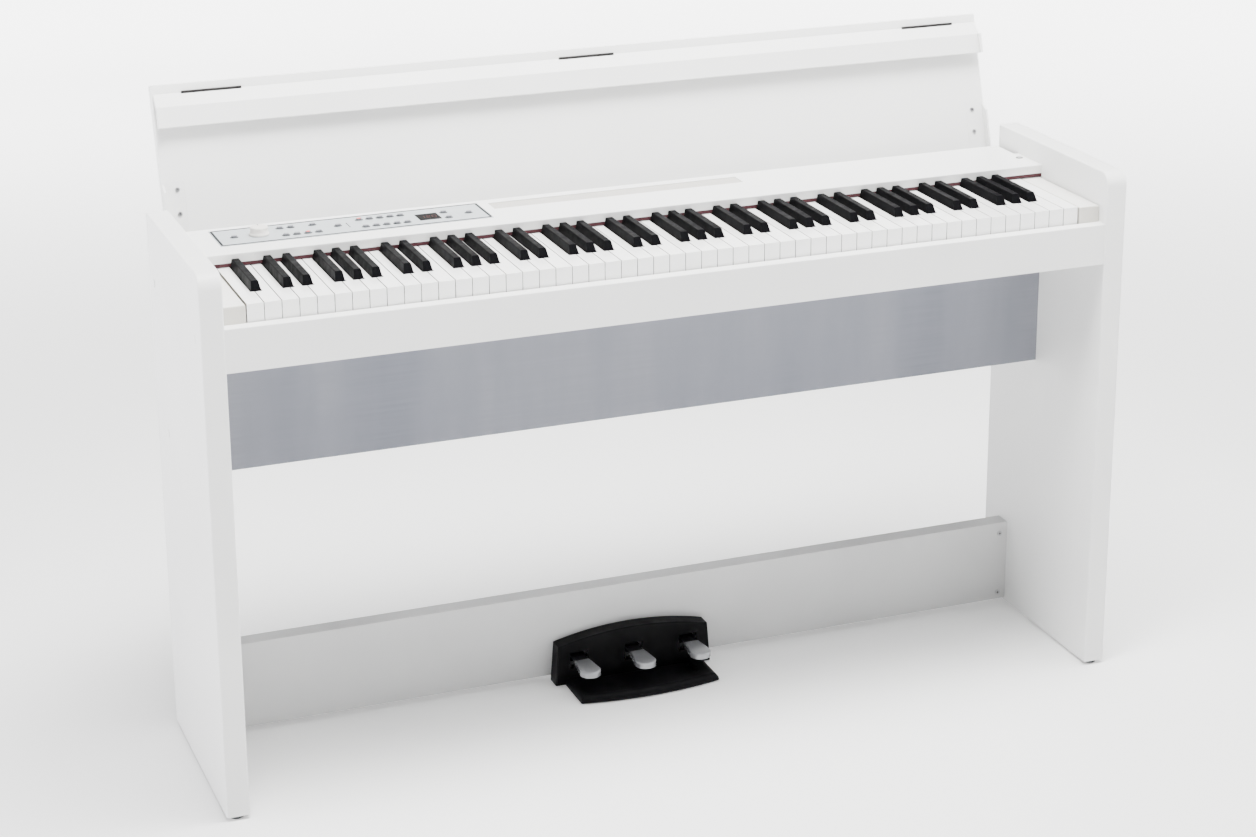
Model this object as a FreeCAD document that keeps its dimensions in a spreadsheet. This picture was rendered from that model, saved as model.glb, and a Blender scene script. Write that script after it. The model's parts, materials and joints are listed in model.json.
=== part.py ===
"""Digital piano on a fixed stand, in millimetres.

X runs along the keyboard, Y runs from the player to the back, Z is up from the floor.
Depths are given behind the front edge of the side panels, and shift moves them to the frame's Y.
The lid parts are drawn closed and swung open about their pivot.
"""
import FreeCAD, Part
import Sketcher
import os
import re

os.makedirs("parts", exist_ok=True)
Vector = FreeCAD.Vector

DIMENSIONS = {
    # case and stand
    "half_width": 677.5, "side_thick": 32, "side_depth": 323, "side_base": 6, "side_top": 772,
    "corner_round": 20, "edge_round": 2.5, "shift": -214.24,
    "glide_radius": 10, "cap_radius": 6, "cap_proud": 0.8,
    "keybed_low": 636.5, "keybed_thick": 14.5, "keybed_rear": 300,
    "slip_front": 2, "slip_thick": 18, "slip_top": 696.5,
    "block_inner": 612.5, "block_outer": 644.5, "block_front": 20, "block_top": 720.5,
    "panel_front": 190, "panel_rear": 325, "panel_low": 727, "panel_top": 740, "panel_wall": 4,
    "felt_thick": 5, "arm_slot_from": 262, "arm_slot_inner": 638.5,
    "strip_half": 192, "strip_front": 268, "strip_rear": 300, "socket_left": -420,
    "socket_right": -300, "socket_low": 672, "socket_high": 700,
    "modesty_front": 184, "modesty_thick": 16, "modesty_low": 433,
    "stretcher_front": 252, "stretcher_thick": 28, "stretcher_low": 10, "stretcher_top": 140,
    "stretcher_screw_out": 632,
    # keyboard
    "key_pitch": 23.5, "key_gap": 1, "white_count": 52, "key_front": 22, "key_top": 721,
    "key_thick": 12, "key_lip": 28, "key_lip_thick": 3, "key_head": 49.4, "key_rear": 290,
    "key_pivot_depth": 284, "key_pivot_height": 712, "pivot_rod_radius": 3, "running_gap": 0.05,
    "black_front": 72.6, "black_slope": 8, "black_top": 733, "black_base": 13.7, "black_crown": 10,
    "black_rear": 189.5, "black_stem_top": 720.5, "black_room": 1.2,
    # controls
    "plate_left": -596, "plate_right": -207, "plate_front": 226, "plate_rear": 305,
    "plate_proud": 0.6, "front_row": 246.5, "rear_row": 283, "middle_row": 263,
    "button_long": 8, "button_deep": 5, "button_tall": 2.4, "knob_radius": 14, "knob_tall": 12,
    "knob_place": -534, "window_left": -308, "window_right": -276, "window_front": 246.5,
    "window_rear": 278.5,
    # lid
    "lid_half": 643.5, "lid_low": 756, "lid_thick": 16, "lid_front": 11.7, "lid_rear": 351,
    "lid_open": 106.8, "lid_pivot_depth": 276.6, "lid_pivot_height": 692.8,
    "lid_pin_radius": 4, "arm_boss": 11, "arm_inner": 640, "arm_outer": 643,
    "flange_inner": 612, "flange_from": 137, "flange_to": 278, "flange_thick": 2.5,
    "flap_half": 641, "flap_hinge_in": 13, "flap_hinge_down": 3, "flap_ridge_in": 33,
    "flap_face_down": 15, "flap_edge_in": 62, "flap_thick": 6, "flap_end_down": 21,
    "hinge_long": 85, "hinge_spread": 559, "hinge_radius": 1.6, "lid_screw_out": 622,
    "bumper_out": 634, "bumper_depth": 238,
    # pedals
    "pedal_spacing": 88, "pedal_top": 46, "pedal_lip": 9, "pedal_front": 163, "pedal_blade_rear": 214,
    "pedal_wide": 32, "pedal_narrow": 23, "pedal_shaft_depth": 240, "pedal_shaft_height": 40,
    "pedal_shaft_radius": 4, "tray_half": 110, "tray_front": 157, "tray_low": 2, "tray_rim": 13,
    "tray_floor": 5, "tray_bulge": 12, "rim_wide": 24, "rim_round": 9, "cover_half": 125,
    "cover_front": 227, "cover_rear": 251.7, "cover_wall": 3, "cover_shoulder": 64,
    "cover_crown": 79, "cover_lean": 5, "cover_edge": 2,
    # hidden working parts
    "speaker_centre": 440, "speaker_half": 125, "speaker_low": 545, "speaker_front": 206,
    "speaker_rear": 288, "speaker_wall": 6, "driver_radius": 34,
}

doc = FreeCAD.newDocument("DigitalPiano")
sheet = doc.addObject("Spreadsheet::Sheet", "Dims")
for row, (alias, value) in enumerate(DIMENSIONS.items(), start=1):
    sheet.set(f"A{row}", alias)
    sheet.set(f"B{row}", str(value))
    sheet.setAlias(f"B{row}", alias)
doc.recompute()

PIECES = []


def formula(text):
    """Turn a formula in dimension names into one that the spreadsheet's cells drive."""
    text = str(text)
    return re.sub(r"[a-z_]+", lambda word: "Dims." + word.group() if word.group() in DIMENSIONS
                  else word.group(), text)


def size(name):
    return float(sheet.get(name))


def depth(text):
    return f"shift + ({text})"


def piece(item, label):
    """Name a finished sub-part, so that it is written to its own file."""
    item.Label = label
    PIECES.append(item)
    return item


def block(name, x, y, z):
    """A box between pairs of formulas. The Y pair counts from the side panels' front edge."""
    item = doc.addObject("Part::Box", name)
    spans = (("Length", "x", x), ("Width", "y", [depth(text) for text in y]), ("Height", "z", z))
    for prop, direction, (low, high) in spans:
        item.setExpression(prop, formula(f"({high}) - ({low})"))
        item.setExpression(f"Placement.Base.{direction}", formula(low))
    return item


def rod(name, direction, radius, length, x, y, z):
    """A cylinder that starts at x, y, z and runs along +X, +Y or +Z."""
    item = doc.addObject("Part::Cylinder", name)
    turns = {"x": (Vector(0, 1, 0), 90), "y": (Vector(1, 0, 0), -90), "z": (Vector(0, 0, 1), 0)}
    item.Placement.Rotation = FreeCAD.Rotation(*turns[direction])
    item.setExpression("Radius", formula(radius))
    item.setExpression("Height", formula(length))
    for base, text in (("x", x), ("y", depth(y)), ("z", z)):
        item.setExpression(f"Placement.Base.{base}", formula(text))
    return item


def group(label, items):
    """Separate solids that share one node."""
    item = doc.addObject("Part::Compound", label)
    item.Links = items
    return piece(item, label)


def fuse(name, items):
    item = doc.addObject("Part::MultiFuse", name)
    item.Shapes = items
    return item


def cut(name, base, tools):
    item = doc.addObject("Part::Cut", name)
    item.Base = base
    item.Tool = tools[0] if len(tools) == 1 else fuse(name + "_tools", tools)
    return item


def swing_open(item):
    """Turn a part that is drawn with the lid closed to the open rest pose."""
    pivot = Vector(0, size("shift") + size("lid_pivot_depth"), size("lid_pivot_height"))
    turn = FreeCAD.Rotation(Vector(1, 0, 0), -size("lid_open"))
    item.Placement = FreeCAD.Placement(Vector(0, 0, 0), turn, pivot)
    return item


def outline(body, role, points):
    """A closed sketch on one of the body's planes, with every corner driven by the sheet."""
    plane = [item for item in body.Origin.OriginFeatures if item.Role == role][0]
    sketch = body.newObject("Sketcher::SketchObject", body.Name + "_outline")
    sketch.AttachmentSupport = [(plane, "")]
    sketch.MapMode = "FlatFace"
    cells = [[formula(text) for text in point] for point in points]
    spots = [[float(value_of(text)) for text in point] for point in cells]
    count = len(points)
    for index in range(count):
        start = Vector(*spots[index], 0)
        end = Vector(*spots[(index + 1) % count], 0)
        sketch.addGeometry(Part.LineSegment(start, end), False)
    for index in range(count):
        sketch.addConstraint(Sketcher.Constraint("Coincident", index, 2, (index + 1) % count, 1))
        for kind, value, cell in zip(("DistanceX", "DistanceY"), spots[index], cells[index]):
            number = sketch.addConstraint(Sketcher.Constraint(kind, -1, 1, index, 1, value))
            sketch.renameConstraint(number, f"{kind}{index}")
            sketch.setExpression(f"Constraints.{kind}{index}", cell)
    return sketch


def value_of(text):
    """The present value of a formula, worked out by the sheet's own engine."""
    return sheet.evalExpression(text)


def pad(body, sketch, length, start=None):
    feature = body.newObject("PartDesign::Pad", body.Name + "_pad")
    feature.Profile = sketch
    feature.setExpression("Length", formula(length))
    if start is not None:
        sketch.setExpression("AttachmentOffset.Base.z", formula(start))
    doc.recompute()
    return feature


def extrusion(name, role, points, length, start):
    """A body made by padding one outline."""
    body = doc.addObject("PartDesign::Body", name)
    body.AllowCompound = True
    pad(body, outline(body, role, points), length, start)
    return body


def soften(body, radius, chosen):
    """Round the edges of the body's last feature that the test picks."""
    last = body.Tip
    names = [f"Edge{number}" for number, edge in enumerate(last.Shape.Edges, start=1)
             if chosen(edge)]
    feature = body.newObject("PartDesign::Fillet", body.Name + "_round")
    feature.Base = (last, names)
    feature.setExpression("Radius", formula(radius))
    doc.recompute()
    return feature


def along(direction):
    """An edge test: straight and parallel to the direction."""
    def test(edge):
        if edge.Curve.TypeId != "Part::GeomLine":
            return False
        return abs(abs(edge.Curve.Direction.dot(direction)) - 1) < 1e-6
    return test


# ---------------------------------------------------------------- stand

def side_panel(label, start):
    outer = (("0", "side_base"), ("side_depth", "side_base"), ("side_depth", "side_top"),
             ("0", "side_top"))
    body = extrusion(label, "YZ_Plane", [(depth(y), z) for y, z in outer], "side_thick", start)
    top = size("side_top")
    front = size("shift")
    crosswise = along(Vector(1, 0, 0))
    soften(body, "corner_round", lambda edge: crosswise(edge)
           and edge.CenterOfMass.z > top - 1 and edge.CenterOfMass.y < front + 1)
    soften(body, "edge_round", lambda edge: not crosswise(edge)
           and (edge.CenterOfMass.z > top - 30 or edge.CenterOfMass.y < front + 1))
    return piece(body, label)


def stand():
    side_panel("left_side_panel", "-half_width")
    side_panel("right_side_panel", "half_width - side_thick")
    inner = "half_width - side_thick"
    piece(block("stretcher_board", (f"-({inner})", inner),
                ("stretcher_front", "stretcher_front + stretcher_thick"),
                ("stretcher_low", "stretcher_top")), "stretcher_board")
    piece(block("modesty_panel", (f"-({inner})", inner),
                ("modesty_front", "modesty_front + modesty_thick"),
                ("modesty_low", "keybed_low")), "modesty_panel")
    glides = []
    caps = []
    screws = []
    for side in (-1, 1):
        for place in ("15", "side_depth - 15"):
            glides.append(rod("glide", "z", "glide_radius", "side_base",
                              f"{side} * (half_width - side_thick / 2)", place, "0"))
        low = "half_width" if side > 0 else "-half_width - cap_proud"
        for place, height in (("290.6", "680"), ("37", "677"), ("250", "474.5")):
            caps.append(rod("cap", "x", "cap_radius", "cap_proud", low, place, height))
        for height in ("stretcher_top - 17.5", "stretcher_low + 11.4"):
            screws.append(rod("screw", "y", "4", "2", f"{side} * stretcher_screw_out",
                              "stretcher_front - 2", height))
    glides += [rod("pedal_pad", "z", "8", "tray_low", x, place, "0")
               for x in ("-95", "95") for place in ("172", "236")]
    group("rubber_feet", glides)
    group("screw_caps", caps)
    group("stretcher_screws", screws)


# ---------------------------------------------------------------- case

def case():
    inner = "half_width - side_thick"
    piece(block("keybed", (f"-({inner})", inner), ("slip_front + slip_thick", "keybed_rear"),
                ("keybed_low", "keybed_low + keybed_thick")), "keybed")
    slip = block("key_slip_board", (f"-({inner})", inner),
                 ("slip_front", "slip_front + slip_thick"), ("keybed_low", "slip_top"))
    doc.recompute()
    rounded = doc.addObject("Part::Fillet", "key_slip")
    rounded.Base = slip
    top = size("slip_top")
    rounded.Edges = [(number, 1.5, 1.5) for number, edge in enumerate(slip.Shape.Edges, start=1)
                     if along(Vector(1, 0, 0))(edge) and edge.CenterOfMass.z > top - 1]
    piece(rounded, "key_slip")
    for label, side in (("left_end_block", -1), ("right_end_block", 1)):
        x = ("block_inner", "block_outer") if side > 0 else ("-block_outer", "-block_inner")
        end = block(label + "_blank", x, ("block_front", "panel_front + 5"),
                    ("keybed_low + keybed_thick", "block_top"))
        doc.recompute()
        smooth = doc.addObject("Part::Fillet", label + "_rounded")
        smooth.Base = end
        height = size("block_top")
        smooth.Edges = [(number, 2, 2) for number, edge in enumerate(end.Shape.Edges, start=1)
                        if edge.CenterOfMass.z > height - 1]
        piece(smooth, label)
    top_panel()
    piece(block("key_felt", (f"-({inner})", inner), ("panel_front", "panel_front + felt_thick"),
                ("panel_low - felt_thick", "panel_low")), "key_felt")
    cover = block("back_cover_sheet", ("-arm_slot_inner + 0.5", "arm_slot_inner - 0.5"),
                  ("keybed_rear - 3", "keybed_rear + 3"),
                  ("keybed_low + keybed_thick", "panel_low"))
    socket_hole = block("socket_hole", ("socket_left", "socket_right"),
                        ("keybed_rear - 5", "keybed_rear + 5"), ("socket_low", "socket_high"))
    piece(cut("back_cover", cover, [socket_hole]), "back_cover")
    frame = block("socket_frame", ("socket_left + 0.2", "socket_right - 0.2"),
                  ("keybed_rear - 6", "keybed_rear + 1"), ("socket_low + 0.2", "socket_high - 0.2"))
    holes = [rod("socket", "y", "3.2", "9", f"-402 + 18 * {number}", "keybed_rear - 4", "686")
             for number in range(3)]
    holes.append(rod("power_socket", "y", "4.5", "9", "-340", "keybed_rear - 4", "686"))
    holes.append(block("usb_socket", ("-324", "-312"), ("keybed_rear - 4", "keybed_rear + 5"),
                       ("681", "691")))
    piece(cut("rear_sockets", frame, holes), "rear_sockets")


def top_panel():
    """A shallow shell with its rear edge trimmed clear of the swinging lid."""
    points = (("panel_front", "panel_low"), ("panel_rear", "panel_low"),
              ("panel_rear", "panel_top - 8"), ("panel_rear - 7.7", "panel_top"),
              ("panel_front", "panel_top"))
    inner = "half_width - side_thick"
    shell = extrusion("panel_shell", "YZ_Plane", [(depth(y), z) for y, z in points],
                      f"2 * ({inner})", f"-({inner})")
    front = size("shift") + size("panel_front")
    top = size("panel_top")
    crosswise = along(Vector(1, 0, 0))
    soften(shell, "1.5", lambda edge: crosswise(edge) and edge.CenterOfMass.y < front + 1
           and edge.CenterOfMass.z > top - 1)
    hollow = block("panel_hollow", ("-arm_slot_inner + 4", "arm_slot_inner - 4"),
                   ("panel_front + panel_wall + 1.5", "panel_rear - 12"),
                   ("panel_low - 1", "panel_top - panel_wall"))
    tools = [hollow]
    for side in (-1, 1):
        x = ("arm_slot_inner", f"{inner} + 1")
        if side < 0:
            x = (f"-({inner}) - 1", "-arm_slot_inner")
        tools.append(block("arm_slot", x, ("arm_slot_from", "panel_rear + 1"),
                           ("panel_low - 1", "panel_top + 1")))
    tools.append(block("plate_recess", ("plate_left", "plate_right"), ("plate_front", "plate_rear"),
                       ("panel_top - 1", "panel_top + 1")))
    tools.append(block("strip_recess", ("-strip_half", "strip_half"), ("strip_front", "strip_rear"),
                       ("panel_top - 2", "panel_top + 1")))
    piece(cut("top_panel", shell, tools), "top_panel")
    piece(block("music_rest_strip", ("-strip_half + 0.2", "strip_half - 0.2"),
                ("strip_front + 0.2", "strip_rear - 0.2"),
                ("panel_top - 2", "panel_top - 0.8")), "music_rest_strip")


# ---------------------------------------------------------------- controls

def oval(name, x, y, room, low, high):
    """An upright oval as long and deep as a push button, with room added all round."""
    radius = f"(button_deep / 2 + {room})"
    reach = "(button_long - button_deep) / 2"
    middle = block(name, (f"{x} - {reach}", f"{x} + {reach}"), (f"{y} - {radius}", f"{y} + {radius}"),
                   (low, high))
    ends = [rod(name + "_end", "z", radius, f"({high}) - ({low})", f"{x} {sign} {reach}", y, low)
            for sign in "+-"]
    return fuse(name + "_oval", [middle] + ends)


def press_button(x, y):
    low = "panel_top + plate_proud + 0.2"
    return oval("button", x, y, "0", low, f"{low} + button_tall")


def controls():
    plate = block("control_plate_sheet", ("plate_left", "plate_right"), ("plate_front", "plate_rear"),
                  ("panel_top - 1", "panel_top + plate_proud"))
    window = block("window_hole", ("window_left", "window_right"), ("window_front", "window_rear"),
                   ("panel_top - 0.6", "panel_top + 2"))
    piece(block("display_window", ("window_left + 0.2", "window_right - 0.2"),
                ("window_front + 0.2", "window_rear - 0.2"),
                ("panel_top - 0.6", "panel_top + plate_proud + 0.2")), "display_window")
    power = (-569, "middle_row")
    piece(press_button(*power), "power_button")
    voice = [(-500.5 + 15.5 * number, "front_row") for number in range(4)]
    voice += [(-500.5, "rear_row"), (-485, "rear_row"), (-454, "rear_row")]
    bank = [(-387 + 15 * number, line) for line in ("front_row", "rear_row") for number in range(5)]
    value = [(-422, "middle_row + 2"), (-266, "middle_row + 12"), (-266, "middle_row - 15"),
             (-233, "middle_row - 2")]
    for label, spots in (("voice_buttons", voice), ("song_buttons", bank),
                         ("value_buttons", value)):
        group(label, [press_button(x, y) for x, y in spots])
    holes = [oval("button_hole", x, y, "0.4", "panel_top - 2", "panel_top + 2")
             for x, y in [power] + voice + bank + value]
    piece(cut("control_plate", plate, [window] + holes), "control_plate")
    group("indicator_lights", [rod("light", "z", "1", "0.5", "-408", f"middle_row + {step}",
                                   "panel_top + plate_proud") for step in (-9, -3, 3, 9)])
    low = "panel_top + plate_proud + 0.3"
    skirt = rod("knob_skirt", "z", "knob_radius", "4", "knob_place", "middle_row", low)
    cap = rod("knob_cap", "z", "knob_radius - 1.5", "knob_tall", "knob_place", "middle_row", low)
    mark = block("knob_mark", ("knob_place - 0.7", "knob_place + 0.7"),
                 ("middle_row + 6", "middle_row + 12"),
                 (f"{low} + knob_tall - 0.6", f"{low} + knob_tall + 1"))
    doc.recompute()
    rounded = doc.addObject("Part::Fillet", "knob_rounded")
    rounded.Base = cap
    rounded.Edges = [(number, 1.2, 1.2) for number, edge in enumerate(cap.Shape.Edges, start=1)
                     if edge.BoundBox.ZMin > cap.Shape.BoundBox.ZMax - 0.01]
    piece(cut("volume_knob", fuse("knob_body", [skirt, rounded]), [mark]), "volume_knob")


# ---------------------------------------------------------------- keyboard

OCTAVE_WHITES = "CDEFGAB"
BLACK_SHIFT = {"C": -1.5, "D": 1.5, "F": -2, "G": 0, "A": 2}
FIRST_KEY = "-white_count * key_pitch / 2"


def white_key(name, low_side, high_side):
    """One white key at X 0. A side holds the room left for the black key there, or none."""
    left = "key_gap / 2"
    right = "key_pitch - key_gap / 2"
    head = "key_front + key_head"
    points = [(left, depth("key_front")), (right, depth("key_front"))]
    if high_side is not None:
        edge = f"key_pitch + {high_side} - black_base / 2 - black_room"
        points += [(right, depth(head)), (edge, depth(head)), (edge, depth("key_rear"))]
    else:
        points += [(right, depth("key_rear"))]
    if low_side is not None:
        edge = f"{low_side} + black_base / 2 + black_room"
        points += [(edge, depth("key_rear")), (edge, depth(head)), (left, depth(head))]
    else:
        points += [(left, depth("key_rear"))]
    body = doc.addObject("PartDesign::Body", name)
    body.AllowCompound = True
    pad(body, outline(body, "XY_Plane", points), "key_thick", "key_top - key_thick")
    lip = [(left, depth("key_front")), (right, depth("key_front")),
           (right, depth("key_front + key_lip_thick")), (left, depth("key_front + key_lip_thick"))]
    pad(body, outline(body, "XY_Plane", lip), "key_lip", "key_top - key_lip")
    bore(body)
    top = size("key_top")
    panel = size("shift") + size("panel_front")
    soften(body, "0.5", lambda edge: edge.BoundBox.ZMin > top - 0.01
           and edge.CenterOfMass.y < panel + 30)
    return body


def bore(body):
    """The cross hole for the pivot rod."""
    plane = [item for item in body.Origin.OriginFeatures if item.Role == "YZ_Plane"][0]
    sketch = body.newObject("Sketcher::SketchObject", body.Name + "_bore")
    sketch.AttachmentSupport = [(plane, "")]
    sketch.MapMode = "FlatFace"
    centre = [size("shift") + size("key_pivot_depth"), size("key_pivot_height")]
    sketch.addGeometry(Part.Circle(Vector(*centre, 0), Vector(0, 0, 1), 3), False)
    for kind, value, text in (("DistanceX", centre[0], depth("key_pivot_depth")),
                              ("DistanceY", centre[1], "key_pivot_height")):
        number = sketch.addConstraint(Sketcher.Constraint(kind, -1, 1, 0, 3, value))
        sketch.renameConstraint(number, kind)
        sketch.setExpression("Constraints." + kind, formula(text))
    number = sketch.addConstraint(Sketcher.Constraint("Radius", 0, 3.0))
    sketch.renameConstraint(number, "BoreRadius")
    sketch.setExpression("Constraints.BoreRadius", formula("pivot_rod_radius + running_gap"))
    pocket = body.newObject("PartDesign::Pocket", body.Name + "_hole")
    pocket.Profile = sketch
    pocket.Type = "ThroughAll"
    pocket.Midplane = True
    doc.recompute()


def black_key(name):
    """One black key centred on X 0: a tapered crown and a low stem back to the pivot."""
    side = [("black_front", "key_top - 8"), ("black_rear", "key_top - 8"),
            ("black_rear", "black_top"), ("black_front + black_slope", "black_top"),
            ("black_front", "key_top - 1")]
    body = doc.addObject("PartDesign::Body", name)
    body.AllowCompound = True
    pad(body, outline(body, "YZ_Plane", [(depth(y), z) for y, z in side]), "black_base",
        "-black_base / 2")
    for sign in (-1, 1):
        flank = [(f"{sign} * black_crown / 2", "black_top"),
                 (f"{sign} * black_base", "black_top + 1"),
                 (f"{sign} * black_base", "key_top"), (f"{sign} * black_base / 2", "key_top")]
        sketch = outline(body, "XZ_Plane", flank)
        groove = body.newObject("PartDesign::Pocket", f"{name}_flank")
        groove.Profile = sketch
        groove.Type = "ThroughAll"
        groove.Midplane = True
        doc.recompute()
    top = size("black_top")
    soften(body, "1.2", lambda edge: edge.BoundBox.ZMin > top - 0.01)
    stem = [("black_front + 12", "key_top - key_thick"), ("key_rear", "key_top - key_thick"),
            ("key_rear", "black_stem_top"), ("black_front + 12", "black_stem_top")]
    pad(body, outline(body, "YZ_Plane", [(depth(y), z) for y, z in stem]), "black_base - 2",
        "-(black_base - 2) / 2")
    bore(body)
    return body


def repeat(body, count):
    """Copies of a key at every octave."""
    pattern = body.newObject("PartDesign::LinearPattern", body.Name + "_octaves")
    pattern.TransformMode = "Whole shape"
    axis = [item for item in body.Origin.OriginFeatures if item.Role == "X_Axis"][0]
    pattern.Direction = (axis, [""])
    pattern.setExpression("Length", formula(f"7 * key_pitch * {count - 1}"))
    pattern.Occurrences = count
    body.Tip = pattern
    doc.recompute()


def place_key(body, white_steps, nudge=0):
    body.setExpression("Placement.Base.x",
                       formula(f"{FIRST_KEY} + {white_steps} * key_pitch + {nudge}"))


def keyboard():
    """Keys A0 to C8, one node for each note name. The first white key is A0."""
    first_whole = 2
    for step, note in enumerate(OCTAVE_WHITES):
        lower = OCTAVE_WHITES[step - 1]
        low_side = BLACK_SHIFT.get(lower)
        high_side = BLACK_SHIFT.get(note)
        label = f"white_keys_{note.lower()}"
        body = white_key(label + "_octaves", low_side, high_side)
        repeat(body, 7)
        place_key(body, first_whole + step)
        members = [body]
        if note in "AB":
            edge_key = white_key(label + "_first", None if note == "A" else low_side, high_side)
            place_key(edge_key, "AB".index(note))
            members.append(edge_key)
        if note == "C":
            last_key = white_key(label + "_last", None, None)
            place_key(last_key, "(white_count - 1)")
            members.append(last_key)
        if len(members) > 1:
            group(label, members)
        else:
            piece(body, label)
        if high_side is None:
            continue
        label = f"black_keys_{note.lower()}_sharp"
        sharp = black_key(label + "_octaves")
        repeat(sharp, 8 if note == "A" else 7)
        place_key(sharp, 1 if note == "A" else first_whole + step + 1, high_side)
        piece(sharp, label)


# ---------------------------------------------------------------- key mechanism and electronics

def inside():
    half = "block_inner - 1"
    floor = "keybed_low + keybed_thick"
    tray = block("chassis_tray", (f"-({half})", half), ("40", "294"), (floor, f"{floor} + 3"))
    rail = block("chassis_rail", (f"-({half})", half), ("262", "276"), (floor, "key_top - 20"))
    ends = [block("chassis_end", (f"{side} * (block_inner - 0.75) - 0.75",
                                  f"{side} * (block_inner - 0.75) + 0.75"),
                  ("272", "294"), (floor, "key_top - 2")) for side in (-1, 1)]
    posts = [block("contact_post", (f"{x} - 5", f"{x} + 5"), ("176", "186"), (floor, "690"))
             for x in (-560, -280, 0, 280, 560)]
    piece(fuse("key_chassis", [tray, rail] + ends + posts), "key_chassis")
    piece(rod("key_pivot_rod", "x", "pivot_rod_radius", "2 * (block_inner - 1.5)",
              "-(block_inner - 1.5)", "key_pivot_depth", "key_pivot_height"), "key_pivot_rod")
    strip = block("contact_strip", ("-608", "608"), ("165", "197"), ("690", "691.6"))
    domes = block("contact_rubber", ("-606", "606"), ("172", "190"), ("691.6", "702.5"))
    piece(strip, "key_contact_board")
    piece(domes, "contact_rubber")
    piece(block("main_board", ("-250", "-60"), ("208", "258"), (f"{floor} + 9", f"{floor} + 10.6")),
          "main_board")
    low = "panel_low + 3"
    piece(block("control_board", ("plate_left + 10", "plate_right - 10"),
                ("plate_front + 4", "plate_rear - 6"), (low, f"{low} + 1.6")), "control_board")


def speakers():
    drivers = []
    grilles = []
    for label, side in (("left_speaker_box", -1), ("right_speaker_box", 1)):
        centre = f"{side} * speaker_centre"
        x = (f"{centre} - speaker_half", f"{centre} + speaker_half")
        outer = block(label + "_outer", x, ("speaker_front", "speaker_rear"),
                      ("speaker_low", "keybed_low"))
        hollow = block(label + "_hollow", (f"{x[0]} + speaker_wall", f"{x[1]} - speaker_wall"),
                       ("speaker_front + speaker_wall", "speaker_rear - speaker_wall"),
                       ("speaker_low + speaker_wall", "keybed_low - speaker_wall"))
        middle = "(speaker_front + speaker_rear) / 2"
        mouth = rod(label + "_mouth", "z", "driver_radius - 3", "speaker_wall + 2", centre, middle,
                    "speaker_low - 1")
        piece(cut(label, outer, [hollow, mouth]), label)
        seat = "speaker_low + speaker_wall"
        rim = rod("driver_rim", "z", "driver_radius", "3", centre, middle, seat)
        cone = doc.addObject("Part::Cone", "driver_cone")
        for prop, text in (("Radius1", "driver_radius - 4"), ("Radius2", "14"), ("Height", "22"),
                           ("Placement.Base.x", centre), ("Placement.Base.y", depth(middle)),
                           ("Placement.Base.z", f"{seat} + 3")):
            cone.setExpression(prop, formula(text))
        magnet = rod("driver_magnet", "z", "20", "14", centre, middle, f"{seat} + 25")
        drivers.append(fuse("driver", [rim, cone, magnet]))
        plate = rod("grille_plate", "z", "driver_radius + 2", "1.5", centre, middle,
                    "speaker_low - 1.5")
        holes = [block("grille_slot", (f"{centre} - 24", f"{centre} + 24"),
                       (f"{middle} + {step} - 2", f"{middle} + {step} + 2"),
                       ("speaker_low - 3", "speaker_low + 1")) for step in (-16, -8, 0, 8, 16)]
        grilles.append(cut("grille", plate, holes))
    group("speaker_drivers", drivers)
    group("speaker_grilles", grilles)


# ---------------------------------------------------------------- lid

def closed_point(inward, down):
    """A point given by its distance behind the lid's front edge and below its underside."""
    return depth(f"lid_front + {inward}"), f"lid_low - ({down})"


def lid():
    points = (("lid_front", "lid_low"), ("lid_rear", "lid_low"),
              ("lid_rear", "lid_low + lid_thick"), ("lid_front", "lid_low + lid_thick"))
    board = extrusion("lid_slab", "YZ_Plane", [(depth(y), z) for y, z in points], "2 * lid_half",
                      "-lid_half")
    soften(board, "2", lambda edge: True)
    recesses = []
    for side in (-1, 1):
        x = ("flange_inner - 0.1", "lid_half + 1")
        if side < 0:
            x = ("-lid_half - 1", "-(flange_inner - 0.1)")
        recesses.append(block("flange_recess", x, ("lid_front + flange_from - 0.1",
                                                   "lid_front + flange_to + 0.1"),
                              ("lid_low - 1", "lid_low + flange_thick")))
    piece(swing_open(cut("lid_board", board, recesses)), "lid_board")
    for label, side in (("left_lid_arm", -1), ("right_lid_arm", 1)):
        piece(swing_open(lid_arm(label, side)), label)
    screws = [rod("lid_screw", "z", "3.2", "1.2", f"{side} * lid_screw_out", f"lid_front + {place}",
                  "lid_low - 1.2") for side in (-1, 1) for place in (148, 182, 216)]
    swing_open(group("lid_screws", screws))
    barrels = []
    for centre in (-1, 0, 1):
        x = f"{centre} * hinge_spread"
        span = (f"{x} - hinge_long / 2", f"{x} + hinge_long / 2")
        barrel = rod("barrel", "x", "hinge_radius", "hinge_long", span[0],
                     "lid_front + flap_hinge_in", "lid_low - flap_hinge_down")
        leaf = block("leaf", span, ("lid_front + flap_hinge_in", "lid_front + flap_hinge_in + 12"),
                     ("lid_low - 1", "lid_low"))
        web = block("leaf_web", span, ("lid_front + flap_hinge_in - 1", "lid_front + flap_hinge_in"),
                    ("lid_low - flap_hinge_down", "lid_low"))
        barrels.append(fuse("hinge", [barrel, leaf, web]))
    swing_open(group("flap_hinges", barrels))
    lid_flap()
    pins = []
    for side in (-1, 1):
        low = "half_width - side_thick - 9" if side > 0 else "-(half_width - side_thick)"
        head = "half_width - side_thick - 9" if side > 0 else "-(half_width - side_thick) + 6.5"
        shank = rod("pin_shank", "x", "lid_pin_radius", "9", low, "lid_pivot_depth",
                    "lid_pivot_height")
        collar = rod("pin_head", "x", "lid_pin_radius + 3", "2.5", head, "lid_pivot_depth",
                     "lid_pivot_height")
        pins.append(fuse("lid_pin", [shank, collar]))
    group("lid_pivot_pins", pins)
    group("lid_bumpers", [rod("bumper", "z", "4", "1.5", f"{side} * bumper_out", "bumper_depth",
                              "panel_top") for side in (-1, 1)])


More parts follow.
